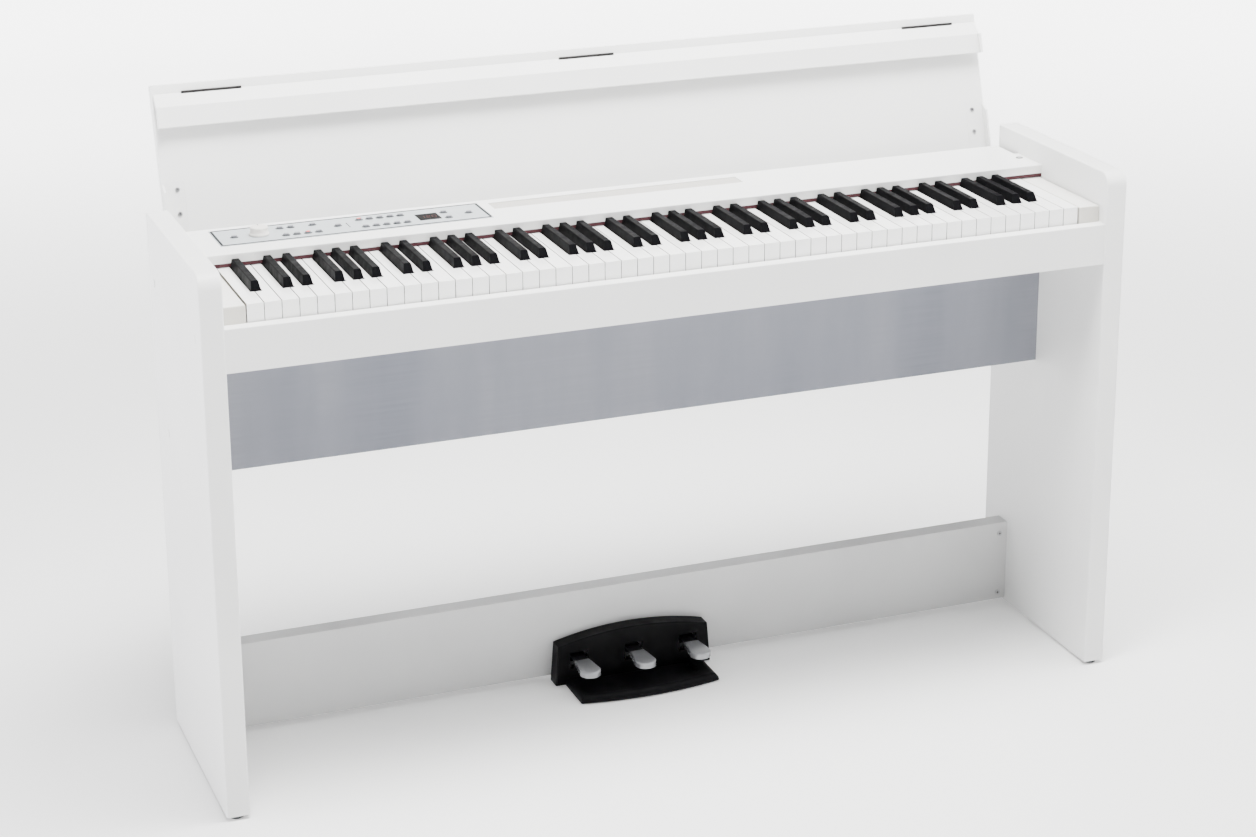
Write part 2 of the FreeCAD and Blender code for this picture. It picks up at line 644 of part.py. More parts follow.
def lid_arm(label, side):
    """A steel arm: a flat web beside the case, a boss round the pin and a flange in the lid."""
    top = "lid_low + flange_thick"
    web_points = [("lid_front + flange_from", top), ("lid_front + flange_to", top),
                  ("lid_pivot_depth + arm_boss - 0.5", "lid_pivot_height"),
                  ("lid_pivot_depth - arm_boss + 0.5", "lid_pivot_height"),
                  ("arm_slot_from + 2", "panel_top + 5"),
                  ("lid_front + flange_from + 14", "panel_top + 5")]
    start = "arm_inner" if side > 0 else "-arm_outer"
    web = extrusion(label + "_web", "YZ_Plane", [(depth(y), z) for y, z in web_points],
                    "arm_outer - arm_inner", start)
    boss = rod(label + "_boss", "x", "arm_boss", "arm_outer - arm_inner", start,
               "lid_pivot_depth", "lid_pivot_height")
    x = ("flange_inner", "arm_outer") if side > 0 else ("-arm_outer", "-flange_inner")
    flange = block(label + "_flange", x, ("lid_front + flange_from", "lid_front + flange_to"),
                   ("lid_low", top))
    hole = rod(label + "_hole", "x", "lid_pin_radius + running_gap", "10",
               "arm_inner - 3" if side > 0 else "-arm_outer - 3", "lid_pivot_depth",
               "lid_pivot_height")
    return cut(label, fuse(label + "_body", [web, boss, flange]), [hole])


def lid_flap():
    """The folding front of the lid, drawn folded against the underside."""
    points = [closed_point(u, v) for u, v in
              (("flap_hinge_in + 0.5", "2"), ("flap_ridge_in", "flap_face_down"),
               ("flap_edge_in", "flap_face_down"), ("flap_edge_in", "flap_face_down - flap_thick"),
               ("flap_ridge_in + 3.5", "flap_face_down - flap_thick"),
               ("flap_ridge_in - 7.5", "1.5"), ("flap_hinge_in + 1", "1.5"))]
    plate = extrusion("flap_plate", "YZ_Plane", points, "2 * flap_half", "-flap_half")
    ridge_depth = size("shift") + size("lid_front") + size("flap_ridge_in")
    face = size("lid_low") - size("flap_face_down")
    crosswise = along(Vector(1, 0, 0))
    soften(plate, "3", lambda edge: crosswise(edge) and abs(edge.CenterOfMass.z - face) < 0.1
           and abs(edge.CenterOfMass.y - ridge_depth) < 0.1)
    edge_depth = size("shift") + size("lid_front") + size("flap_edge_in")
    soften(plate, "1", lambda edge: crosswise(edge) and abs(edge.CenterOfMass.y - edge_depth) < 0.1)
    ends = []
    for side in (-1, 1):
        x = ("flap_half - 4", "flap_half") if side > 0 else ("-flap_half", "-flap_half + 4")
        ends.append(block("flap_end", x, ("lid_front + flap_ridge_in", "lid_front + flap_edge_in"),
                          ("lid_low - flap_end_down", "lid_low - flap_face_down + 3")))
    notches = [block("hinge_notch", (f"{centre} * hinge_spread - hinge_long / 2 - 1",
                                     f"{centre} * hinge_spread + hinge_long / 2 + 1"),
                     ("lid_front", "lid_front + flap_hinge_in + 2.2"),
                     ("lid_low - 10", "lid_low")) for centre in (-1, 0, 1)]
    piece(swing_open(cut("lid_flap", fuse("flap_whole", [plate] + ends), notches)), "lid_flap")


# ---------------------------------------------------------------- pedals

def arc_outline(half, near, bulge, far):
    """A plan outline, straight at the back and bowed to the front."""
    left = Vector(-half, near, 0)
    right = Vector(half, near, 0)
    front = Part.Arc(left, Vector(0, near - bulge, 0), right).toShape()
    sides = [Part.LineSegment(right, Vector(half, far, 0)).toShape(),
             Part.LineSegment(Vector(half, far, 0), Vector(-half, far, 0)).toShape(),
             Part.LineSegment(Vector(-half, far, 0), left).toShape()]
    return Part.Face(Part.Wire([front] + sides))


def arched_face(half, depth_at, shoulder, crown, low):
    """An upright face with straight sides that lean in and an arched top edge."""
    lean = size("cover_lean")
    corners = [Vector(-half, depth_at, low), Vector(half, depth_at, low),
               Vector(half - lean, depth_at, shoulder), Vector(-half + lean, depth_at, shoulder)]
    top = Part.Arc(corners[2], Vector(0, depth_at, crown), corners[3]).toShape()
    edges = [Part.LineSegment(corners[3], corners[0]).toShape(),
             Part.LineSegment(corners[0], corners[1]).toShape(),
             Part.LineSegment(corners[1], corners[2]).toShape(), top]
    return Part.Face(Part.Wire(edges))


def pedal_housing():
    """A bowed tray with a wide rim, and an arched hollow cover that hides the pedals' shaft."""
    shift = size("shift")
    low = size("tray_low")
    half = size("tray_half")
    near = shift + size("tray_front")
    front = shift + size("cover_front")
    rear = shift + size("cover_rear")
    wall = size("cover_wall")
    rim = size("rim_wide")
    floor = size("tray_floor")
    tray = arc_outline(half, near, size("tray_bulge"), front + 1)
    tray = tray.extrude(Vector(0, 0, size("tray_rim") - low))
    tray.translate(Vector(0, 0, low))
    bow = [edge for edge in tray.Edges if edge.BoundBox.ZMin > size("tray_rim") - 0.01
           and edge.CenterOfMass.y < front - 1]
    tray = tray.makeFillet(size("rim_round"), bow)
    well = arc_outline(half - rim, near + rim, size("tray_bulge"), front + 5)
    well = well.extrude(Vector(0, 0, 20))
    well.translate(Vector(0, 0, floor))
    cover = arched_face(size("cover_half"), front, size("cover_shoulder"), size("cover_crown"), low)
    cover = cover.extrude(Vector(0, rear - front, 0))
    crest = [edge for edge in cover.Edges if edge.CenterOfMass.y < front + 0.01
             and edge.CenterOfMass.z > low + 5]
    cover = cover.makeFillet(size("cover_edge"), crest)
    hollow = arched_face(size("cover_half") - wall, front + wall, size("cover_shoulder") - wall,
                         size("cover_crown") - wall, low + wall)
    hollow = hollow.extrude(Vector(0, rear - front, 0))
    shape = tray.cut(well).fuse(cover.cut(hollow))
    spacing = size("pedal_spacing")
    shaft_depth = shift + size("pedal_shaft_depth")
    shaft_height = size("pedal_shaft_height")
    for centre in (-1.32, -0.5, 0.5, 1.32):
        rib = Part.makeBox(4, rear - front - wall, shaft_height + 6 - low,
                           Vector(centre * spacing - 2, front + wall - 1, low + wall - 1))
        shape = shape.fuse(rib)
    for centre in (-1, 0, 1):
        slot = Part.makeBox(28, wall + 2, 26,
                            Vector(centre * spacing - 14, front - 1, shaft_height - 14))
        shape = shape.cut(slot)
    hole = Part.makeCylinder(size("pedal_shaft_radius") + size("running_gap"), 260,
                             Vector(-130, shaft_depth, shaft_height), Vector(1, 0, 0))
    inner = Part.makeBox(236, rear - front, 60, Vector(-118, front + wall, low + wall))
    item = doc.addObject("Part::Feature", "pedal_housing")
    item.Shape = shape.cut(hole.common(inner)).removeSplitter()
    piece(item, "pedal_housing")


def pedal(label, centre):
    """A pressed blade with a rounded nose on a lever that turns on the shaft in the cover."""
    shift = size("shift")
    top = size("pedal_top")
    nose = shift + size("pedal_front")
    wide = size("pedal_wide") / 2
    narrow = size("pedal_narrow") / 2
    back = shift + size("pedal_blade_rear")
    shaft_height = size("pedal_shaft_height")
    shaft_depth = shift + size("pedal_shaft_depth")
    bottom = top - size("pedal_lip")

    def blade(inset, low, high):
        left = Vector(-wide + inset, nose + 15, low)
        right = Vector(wide - inset, nose + 15, low)
        tip = Part.Arc(left, Vector(0, nose + inset, low), right).toShape()
        rear = [Vector(narrow - inset, back + inset, low), Vector(-narrow + inset, back + inset, low)]
        sides = [Part.LineSegment(right, rear[0]).toShape(),
                 Part.LineSegment(rear[0], rear[1]).toShape(),
                 Part.LineSegment(rear[1], left).toShape()]
        return Part.Face(Part.Wire([tip] + sides)).extrude(Vector(0, 0, high - low))

    thick = 2.5
    shell = blade(0, bottom, top)
    rims = [edge for edge in shell.Edges if edge.BoundBox.ZMin > top - 0.01]
    shell = shell.makeFillet(2.2, rims).cut(blade(thick, bottom - 1, top - thick))
    half = narrow - 0.5
    lever = Part.makeBox(2 * half, shaft_depth - back + 12, top - thick - bottom - 3,
                         Vector(-half, back - 12, bottom + 3.4))
    boss = Part.makeCylinder(7, 2 * half, Vector(-half, shaft_depth, shaft_height),
                             Vector(1, 0, 0))
    bore_hole = Part.makeCylinder(size("pedal_shaft_radius") + size("running_gap"), 2 * half + 2,
                                  Vector(-half - 1, shaft_depth, shaft_height), Vector(1, 0, 0))
    item = doc.addObject("Part::Feature", label)
    item.Shape = shell.fuse([lever, boss]).cut(bore_hole).removeSplitter()
    item.Placement = FreeCAD.Placement(Vector(centre * size("pedal_spacing"), 0, 0),
                                       FreeCAD.Rotation())
    piece(item, label)


def pedals():
    pedal_housing()
    for label, centre in (("left_pedal", -1), ("middle_pedal", 0), ("right_pedal", 1)):
        pedal(label, centre)
    piece(rod("pedal_shaft", "x", "pedal_shaft_radius", "236", "-118", "pedal_shaft_depth",
              "pedal_shaft_height"), "pedal_shaft")
    springs = []
    for centre in (-1, 0, 1):
        x = f"{centre} * pedal_spacing"
        span = (f"{x} - 5", f"{x} + 5")
        leaf = block("leaf_spring", span, ("cover_front + 4", "cover_front + 20"), ("22", "23"))
        foot = block("spring_foot", span, ("cover_front + 18", "cover_front + 20"),
                     ("tray_low + cover_wall", "22"))
        springs.append(fuse("pedal_spring", [leaf, foot]))
    group("pedal_springs", springs)


# ---------------------------------------------------------------- checks and files

def write_pieces():
    doc.recompute()
    broken = [item.Name for item in doc.Objects
              if "Invalid" in item.State or "Error" in item.State]
    if broken:
        raise SystemExit(f"these objects failed: {broken}")
    for item in PIECES:
        if item.Shape.isNull() or not item.Shape.isValid() or not item.Shape.Solids:
            raise SystemExit(f"{item.Label} has no sound solid")
    for item in PIECES:
        item.Shape.exportStep(f"parts/{item.Label}.step")
    print(len(PIECES), "pieces written")


stand()
case()
controls()
keyboard()
inside()
speakers()
lid()
pedals()
write_pieces()
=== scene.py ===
"""Looks of the digital piano: materials, small trim, light and the camera. Metres, Z up."""

import json
import math

import bmesh
import bpy
from mathutils import Euler, Matrix, Vector


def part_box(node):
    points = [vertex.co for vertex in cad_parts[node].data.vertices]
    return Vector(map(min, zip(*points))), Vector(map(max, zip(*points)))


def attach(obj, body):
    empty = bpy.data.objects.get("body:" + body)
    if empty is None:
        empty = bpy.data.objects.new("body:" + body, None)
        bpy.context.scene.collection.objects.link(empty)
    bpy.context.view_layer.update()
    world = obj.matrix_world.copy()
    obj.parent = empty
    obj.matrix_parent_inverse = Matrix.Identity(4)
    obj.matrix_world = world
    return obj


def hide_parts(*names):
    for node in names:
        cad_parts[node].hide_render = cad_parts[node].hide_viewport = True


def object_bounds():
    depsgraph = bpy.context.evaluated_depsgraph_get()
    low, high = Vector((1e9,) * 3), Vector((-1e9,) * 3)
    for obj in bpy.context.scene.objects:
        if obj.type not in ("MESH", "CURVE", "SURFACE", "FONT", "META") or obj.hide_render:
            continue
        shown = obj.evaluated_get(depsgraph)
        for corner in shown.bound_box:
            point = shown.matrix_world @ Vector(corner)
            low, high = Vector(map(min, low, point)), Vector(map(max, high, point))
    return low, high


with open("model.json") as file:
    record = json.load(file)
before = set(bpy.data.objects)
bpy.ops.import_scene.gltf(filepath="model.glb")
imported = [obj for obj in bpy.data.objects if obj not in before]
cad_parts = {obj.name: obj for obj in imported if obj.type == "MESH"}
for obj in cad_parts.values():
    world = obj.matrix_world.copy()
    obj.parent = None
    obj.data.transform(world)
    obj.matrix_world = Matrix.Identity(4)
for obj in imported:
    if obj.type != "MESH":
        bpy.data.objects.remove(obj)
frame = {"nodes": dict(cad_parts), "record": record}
cad_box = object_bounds()
NODES = frame["nodes"]
MM = 0.001
LID_OPEN = 106.8                # degrees from closed to the rest pose
PEDAL_BLADE = 51 * MM           # chrome part of a pedal, from its nose
BUTTON_NODES = ("power_button", "voice_buttons", "song_buttons", "value_buttons")
BUTTON_LONG = 8 * MM
BUTTON_DEEP = 5 * MM
PRINT = 0.15 * MM               # how far a printed line stands up
RIM_FLAT = 0.05 * MM            # a ring's straight run, so that no edge has zero length


# ---------------------------------------------------------------- materials

class Surface:
    """A node material around one Principled shader, built up step by step in object space."""

    def __init__(self, name, color, roughness, **sockets):
        self.material = bpy.data.materials.new(name)
        self.material.use_nodes = True
        self.tree = self.material.node_tree
        self.shader = self.tree.nodes["Principled BSDF"]
        self.shader.inputs["Roughness"].default_value = roughness
        for socket, value in sockets.items():
            self.shader.inputs[socket.replace("_", " ")].default_value = value
        base = self.node("ShaderNodeRGB")
        base.outputs[0].default_value = (*color, 1)
        self.color = base.outputs[0]
        self.place = self.node("ShaderNodeTexCoord").outputs["Object"]
        self.bump = None

    def node(self, kind, **values):
        made = self.tree.nodes.new(kind)
        for name, value in values.items():
            setattr(made, name, value)
        return made

    def link(self, source, target):
        self.tree.links.new(source, target)

    def noise(self, scale, stretch=(1, 1, 1), detail=3.0):
        """Noise in object space. Stretch is how many times longer the grain is on each axis."""
        mapping = self.node("ShaderNodeMapping")
        mapping.inputs["Scale"].default_value = [1 / value for value in stretch]
        self.link(self.place, mapping.inputs["Vector"])
        noise = self.node("ShaderNodeTexNoise")
        noise.inputs["Scale"].default_value = scale
        noise.inputs["Detail"].default_value = detail
        noise.inputs["Roughness"].default_value = 0.55
        self.link(mapping.outputs[0], noise.inputs["Vector"])
        return noise.outputs["Fac"]

    def ranged(self, value, low, high, from_low=0.3, from_high=0.7, kind="LINEAR"):
        """Map a span of a value onto low to high. The default span is where noise mostly lies."""
        step = self.node("ShaderNodeMapRange", interpolation_type=kind)
        for name, number in (("From Min", from_low), ("From Max", from_high), ("To Min", low),
                             ("To Max", high)):
            step.inputs[name].default_value = number
        self.link(value, step.inputs["Value"])
        return step.outputs[0]

    def tint(self, factor, color):
        """Mix a second colour over what is there so far."""
        mix = self.node("ShaderNodeMix", data_type="RGBA")
        self.link(factor, mix.inputs[0])
        self.link(self.color, mix.inputs[6])
        mix.inputs[7].default_value = (*color, 1)
        self.color = mix.outputs[2]
        return self

    def mottle(self, scale, color, amount, stretch=(1, 1, 1)):
        """Cloudy patches of a second colour."""
        return self.tint(self.ranged(self.noise(scale, stretch, 4.0), 0, amount), color)

    def uneven(self, scale, low, high, stretch=(1, 1, 1)):
        """Roughness that drifts between two values."""
        self.link(self.ranged(self.noise(scale, stretch), low, high),
                  self.shader.inputs["Roughness"])
        return self

    def grain(self, scale, depth, strength, stretch=(1, 1, 1)):
        """Fine bumps of a depth in metres, over any bumps there already are."""
        bump = self.node("ShaderNodeBump")
        bump.inputs["Strength"].default_value = strength
        bump.inputs["Distance"].default_value = depth
        self.link(self.noise(scale, stretch), bump.inputs["Height"])
        if self.bump is not None:
            self.link(self.bump, bump.inputs["Normal"])
        self.bump = bump.outputs[0]
        return self

    def beyond(self, axis, limit, soft=0.4 * MM):
        """0 before a place along an axis and 1 past it."""
        split = self.node("ShaderNodeSeparateXYZ")
        self.link(self.place, split.inputs[0])
        return self.ranged(split.outputs[axis], 0, 1, limit - soft, limit + soft)

    def facing(self, axis, share, soft=0.05):
        """1 on faces that look along an axis either way, and 0 elsewhere."""
        split = self.node("ShaderNodeSeparateXYZ")
        self.link(self.node("ShaderNodeTexCoord").outputs["Normal"], split.inputs[0])
        size = self.node("ShaderNodeMath", operation="ABSOLUTE")
        self.link(split.outputs[axis], size.inputs[0])
        return self.ranged(size.outputs[0], 0, 1, share - soft, share + soft)

    def done(self):
        self.link(self.color, self.shader.inputs["Base Color"])
        if self.bump is not None:
            self.link(self.bump, self.shader.inputs["Normal"])
        return self.material


def white_panel():
    made = Surface("white_foil_board", (0.80, 0.80, 0.79), 0.40, Specular_IOR_Level=0.25)
    made.mottle(6, (0.74, 0.74, 0.735), 0.5).uneven(9, 0.34, 0.46)
    return made.grain(900, 0.00006, 0.5).grain(60, 0.0001, 0.15, (3, 3, 3)).done()


def white_plastic():
    made = Surface("white_moulded_plastic", (0.80, 0.80, 0.79), 0.40, Specular_IOR_Level=0.3)
    made.mottle(8, (0.75, 0.75, 0.745), 0.4).uneven(14, 0.34, 0.46)
    return made.grain(1600, 0.00008, 0.5).done()


def silver_panel():
    made = Surface("silver_brushed_foil", (0.22, 0.225, 0.255), 0.42, Metallic=0.15,
                   Specular_IOR_Level=0.3)
    made.mottle(7, (0.135, 0.145, 0.175), 1.0, (1, 1, 6))
    made.mottle(160, (0.175, 0.18, 0.21), 0.6, (30, 1, 1))
    made.uneven(40, 0.36, 0.5, (20, 1, 1))
    return made.grain(700, 0.00005, 0.5, (40, 1, 1)).done()


def grey_panel():
    made = Surface("light_grey_foil", (0.62, 0.62, 0.615), 0.45, Specular_IOR_Level=0.3)
    made.mottle(9, (0.56, 0.56, 0.56), 0.5).uneven(12, 0.38, 0.52)
    return made.grain(900, 0.00006, 0.5).done()


def ivory_plastic():
    made = Surface("ivory_plastic", (0.60, 0.58, 0.53), 0.42)
    made.mottle(20, (0.55, 0.53, 0.48), 0.5).uneven(25, 0.36, 0.5)
    # Painted light: faces along Z, the block tops, are tinted lighter to stand in for the brighter
    # light falling on them.
    made.tint(made.facing("Z", 0.85), (0.74, 0.73, 0.70))
    return made.grain(1500, 0.00008, 0.5).done()


def white_key():
    made = Surface("white_key_acrylic", (0.92, 0.92, 0.91), 0.16, Coat_Weight=0.4,
                   Coat_Roughness=0.08)
    made.mottle(30, (0.88, 0.875, 0.86), 0.5).uneven(60, 0.12, 0.22)
    # Painted shade: faces along X, the key sides, are tinted dark warm grey to stand in for the
    # shade in the gaps between keys.
    made.tint(made.facing("X", 0.75), (0.15, 0.13, 0.115))
    return made.grain(300, 0.00003, 0.3).done()


def black_key():
    made = Surface("black_key_matte", (0.0028, 0.0028, 0.0034), 0.44, Specular_IOR_Level=0.015)
    made.mottle(400, (0.005, 0.005, 0.0056), 0.6, (1, 8, 1)).uneven(80, 0.34, 0.5)
    return made.grain(900, 0.00008, 0.5, (1, 6, 1)).done()


def felt():
    made = Surface("maroon_felt", (0.030, 0.003, 0.006), 0.95, Sheen_Weight=0.1,
                   Sheen_Roughness=0.5)
    made.mottle(900, (0.05, 0.006, 0.011), 0.9)
    return made.grain(1500, 0.0006, 0.9, (2, 1, 1)).done()


def silver_plate():
    made = Surface("pale_silver_film", (0.40, 0.43, 0.445), 0.36, Specular_IOR_Level=0.3)
    made.mottle(300, (0.37, 0.40, 0.415), 0.5, (30, 1, 1)).uneven(60, 0.3, 0.42, (20, 1, 1))
    return made.grain(1200, 0.00003, 0.4, (30, 1, 1)).done()


def dark_window():
    made = Surface("dark_window", (0.0025, 0.0018, 0.0018), 0.3, Specular_IOR_Level=0.01)
    return made.mottle(50, (0.004, 0.003, 0.003), 0.6).uneven(40, 0.25, 0.35).done()


def red_lens():
    made = Surface("unlit_red_lens", (0.03, 0.012, 0.012), 0.3)
    return made.mottle(900, (0.05, 0.02, 0.02), 0.7).uneven(500, 0.25, 0.4).done()


def grey_button():
    made = Surface("grey_button", (0.17, 0.175, 0.19), 0.45)
    made.mottle(500, (0.21, 0.215, 0.23), 0.6).uneven(300, 0.38, 0.52)
    return made.grain(3000, 0.00006, 0.4).done()


def knob_plastic():
    made = Surface("knob_plastic", (0.68, 0.66, 0.62), 0.34, Specular_IOR_Level=0.3)
    made.mottle(200, (0.64, 0.62, 0.58), 0.5).uneven(200, 0.28, 0.4)
    return made.grain(2500, 0.00004, 0.4).done()


def steel():
    made = Surface("zinc_plated_steel", (0.56, 0.56, 0.57), 0.34, Metallic=1.0)
    made.mottle(90, (0.42, 0.42, 0.44), 0.6).uneven(70, 0.26, 0.42)
    return made.grain(800, 0.00005, 0.4, (6, 1, 1)).done()


def white_metal():
    made = Surface("white_powder_coat", (0.78, 0.78, 0.77), 0.42)
    made.mottle(40, (0.74, 0.74, 0.73), 0.5).uneven(60, 0.36, 0.48)
    return made.grain(2200, 0.0001, 0.5).done()


def grey_rubber():
    made = Surface("soft_grey_rubber", (0.42, 0.42, 0.42), 0.75)
    return made.mottle(200, (0.36, 0.36, 0.36), 0.6).uneven(150, 0.65, 0.85).done()


def rubber():
    made = Surface("black_rubber", (0.022, 0.022, 0.022), 0.8)
    made.mottle(200, (0.035, 0.034, 0.033), 0.7).uneven(150, 0.7, 0.9)
    return made.grain(1200, 0.0001, 0.5).done()


def circuit_board():
    made = Surface("solder_mask", (0.012, 0.10, 0.045), 0.35)
    made.mottle(250, (0.02, 0.16, 0.07), 0.7, (1, 6, 1)).uneven(120, 0.28, 0.45)
    return made.grain(900, 0.00008, 0.5).done()


def taupe_strip():
    made = Surface("taupe_plastic", (0.48, 0.46, 0.43), 0.5)
    made.mottle(60, (0.44, 0.42, 0.39), 0.5).uneven(60, 0.44, 0.58)
    return made.grain(1400, 0.00008, 0.5).done()


def black_plastic():
    made = Surface("black_satin_plastic", (0.004, 0.004, 0.0045), 0.46, Specular_IOR_Level=0.06)
    made.mottle(60, (0.007, 0.007, 0.008), 0.6).uneven(40, 0.38, 0.52)
    return made.grain(1300, 0.00006, 0.4).done()


def chrome():
    """Satin chrome blades whose levers are black behind the blade."""
    made = Surface("pedal_chrome", (0.34, 0.345, 0.36), 0.16)
    made.mottle(50, (0.29, 0.295, 0.31), 0.5)
    lever = made.beyond("Y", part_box("left_pedal")[0][1] + PEDAL_BLADE)
    made.tint(lever, (0.006, 0.006, 0.007))
    made.link(made.ranged(lever, 0.55, 0, 0, 1), made.shader.inputs["Metallic"])
    made.link(made.ranged(lever, 0.16, 0.45, 0, 1), made.shader.inputs["Roughness"])
    made.link(made.ranged(lever, 0.5, 0.12, 0, 1), made.shader.inputs["Specular IOR Level"])
    return made.grain(300, 0.00002, 0.3, (1, 6, 1)).done()


def dark_line():
    made = Surface("printed_dark_line", (0.012, 0.013, 0.016), 0.6, Specular_IOR_Level=0.1)
    return made.mottle(400, (0.02, 0.021, 0.025), 0.6).uneven(200, 0.5, 0.7).done()


def grey_print():
    made = Surface("grey_print", (0.24, 0.24, 0.25), 0.6, Specular_IOR_Level=0.2)
    return made.mottle(400, (0.30, 0.30, 0.31), 0.6).uneven(200, 0.5, 0.7).done()


def blackened_steel():
    made = Surface("blackened_spring_steel", (0.012, 0.012, 0.012), 0.5, Specular_IOR_Level=0.2)
    made.mottle(150, (0.02, 0.019, 0.018), 0.6).uneven(120, 0.42, 0.6)
    return made.grain(900, 0.00005, 0.4, (1, 6, 1)).done()


def glowing_red():
    made = Surface("glowing_red", (0.55, 0.05, 0.04), 0.4, Emission_Color=(1.0, 0.08, 0.06, 1),
                   Emission_Strength=0.9)
    return made.mottle(700, (0.7, 0.09, 0.07), 0.7).uneven(300, 0.3, 0.5).done()


def faint_red():
    made = Surface("faint_red_figures", (0.014, 0.002, 0.002), 0.5, Specular_IOR_Level=0.1,
                   Emission_Color=(1.0, 0.05, 0.04, 1), Emission_Strength=0.09)
    return made.mottle(700, (0.02, 0.003, 0.003), 0.7).uneven(300, 0.4, 0.6).done()


def painted_recess_shade():
    # Painted shade: a near-black colour standing in for the shade inside the screw crosses and the
    # bumper seats.
    made = Surface("screw_recess_painted_shade", (0.03, 0.03, 0.032), 0.6)
    return made.mottle(900, (0.06, 0.06, 0.06), 0.6).uneven(300, 0.5, 0.7).done()


def speaker_wood():
    made = Surface("black_fibreboard", (0.045, 0.042, 0.040), 0.7)
    made.mottle(300, (0.07, 0.06, 0.055), 0.8).uneven(90, 0.6, 0.8)
    return made.grain(800, 0.00015, 0.5).done()


BUILDERS = (white_panel, white_plastic, silver_panel, grey_panel, ivory_plastic, white_key,
            black_key, felt, silver_plate, dark_window, red_lens, grey_button, knob_plastic, steel,
            white_metal, grey_rubber, rubber, circuit_board, taupe_strip, black_plastic, chrome,
            dark_line, grey_print, blackened_steel, glowing_red, faint_red, painted_recess_shade, speaker_wood)
MATERIALS = {builder.__name__: builder() for builder in BUILDERS}
SPECIAL = {"pedal_springs": "blackened_steel", "flap_hinges": "blackened_steel"}


def finish_nodes():
    """Give every CAD node the procedural material of its slot, or a special one."""
    for part in frame["record"]["subparts"]:
        node = NODES[part["node"]]
        for slot in node.material_slots:
            slot.material = MATERIALS[SPECIAL.get(part["node"], part["material_slot"])]


# ---------------------------------------------------------------- camera, light and floor

CAMERA_PLACE = (-1.3404, -3.46244, 1.7739)
CAMERA_TURN, CAMERA_DIP, CAMERA_ROLL = 21.006, 17.556, -0.354       # degrees
CAMERA_LENS, CAMERA_SENSOR = 77.47, 36                              # millimetres
CAMERA_SHIFT = -0.0955


def camera():
    data = bpy.data.cameras.new("camera")
    data.lens = CAMERA_LENS
    data.sensor_width = CAMERA_SENSOR
    data.shift_y = CAMERA_SHIFT
    made = bpy.data.objects.new("camera", data)
    bpy.context.collection.objects.link(made)
    aim = Euler((math.radians(90 - CAMERA_DIP), 0, math.radians(-CAMERA_TURN)), "XYZ").to_matrix()
    made.matrix_world = (Matrix.Translation(CAMERA_PLACE) @ aim.to_4x4()
                         @ Matrix.Rotation(math.radians(CAMERA_ROLL), 4, "Z"))
    bpy.context.scene.camera = made


def lamp(name, place, target, size, power, color):
    """A rectangular area light that faces a target."""
    data = bpy.data.lights.new(name, "AREA")
    data.shape = "RECTANGLE"
    data.size, data.size_y = size
    data.energy = power
    data.color = color
    made = bpy.data.objects.new(name, data)
    bpy.context.collection.objects.link(made)
    made.location = place
    made.rotation_euler = (Vector(target) - Vector(place)).to_track_quat("-Z", "Y").to_euler()


# Name, place from the object's middle in lengths of its diagonal, size, power, colour.
LAMPS = (
    ("overhead_strip", (0.1, -0.25, 1.7), (3.0, 0.8), 390, (1, 1, 0.99)),
    ("overhead_sheet", (0, -0.3, 2.0), (4.0, 2.4), 45, (1, 1, 1)),
    ("left_card", (-1.9, 0.15, 0.3), (1.6, 1.2), 104, (0.96, 0.955, 1)),
    ("left_fill", (-2.2, -0.6, 0.7), (2.5, 2.0), 12, (1, 1, 1)),
    ("right_fill", (2.2, -0.8, 0.9), (2.5, 2.0), 84, (1, 1, 1)),
    ("high_right", (1.2, -1.0, 1.9), (2.4, 1.2), 60, (1, 1, 1)),
    ("back_card", (0.4, 2.2, 0.7), (3.0, 1.6), 80, (1, 1, 1)),
)


FLOOR_SIZE = 60
FLOOR_GLOW = (0.2, 6)           # strength near the object and far away
GLOW_REACH = (1.3, 5.5)         # metres from the origin
HORIZON_GLOW = (2.6, 0.04)      # world strength at the floor's end and overhead
HORIZON_BAND = (0.03, 0.11)     # sine of the height over which it fades


def bright_floor():
    """A pale floor that glows softly further out, like a lit sweep."""
    made = Surface("pale_floor", (0.88, 0.88, 0.875), 0.75, Emission_Color=(1, 1, 1, 1))
    made.mottle(3, (0.87, 0.87, 0.865), 0.5)
    reach = made.node("ShaderNodeVectorMath", operation="LENGTH")
    made.link(made.place, reach.inputs[0])
    glow = made.ranged(reach.outputs["Value"], *FLOOR_GLOW, *GLOW_REACH, "SMOOTHSTEP")
    made.link(glow, made.shader.inputs["Emission Strength"])
    return made.done()


def bright_horizon():
    """A dim world with a bright band low down, where the floor ends."""
    world = bpy.data.worlds.new("studio")
    world.use_nodes = True
    nodes, links = world.node_tree.nodes, world.node_tree.links
    background = nodes["Background"]
    background.inputs["Color"].default_value = (0.95, 0.96, 1.0, 1)
    split = nodes.new("ShaderNodeSeparateXYZ")
    links.new(nodes.new("ShaderNodeTexCoord").outputs["Generated"], split.inputs[0])
    band = nodes.new("ShaderNodeMapRange")
    band.interpolation_type = "SMOOTHSTEP"
    spans = zip(("From Min", "From Max", "To Min", "To Max"), HORIZON_BAND + HORIZON_GLOW)
    for name, value in spans:
        band.inputs[name].default_value = value
    links.new(split.outputs["Z"], band.inputs["Value"])
    links.new(band.outputs[0], background.inputs["Strength"])
    return world


def studio():
    low, high = [Vector(corner) for corner in cad_box]
    middle = (low + high) / 2
    reach = (high - low).length
    for name, place, size, power, color in LAMPS:
        lamp(name, middle + Vector(place) * reach, middle, size, power, color)
    bpy.context.scene.world = bright_horizon()
    bpy.ops.mesh.primitive_plane_add(size=FLOOR_SIZE)
    floor = bpy.context.object
    floor.name = "floor"
    floor.data.materials.append(bright_floor())


# ---------------------------------------------------------------- trim

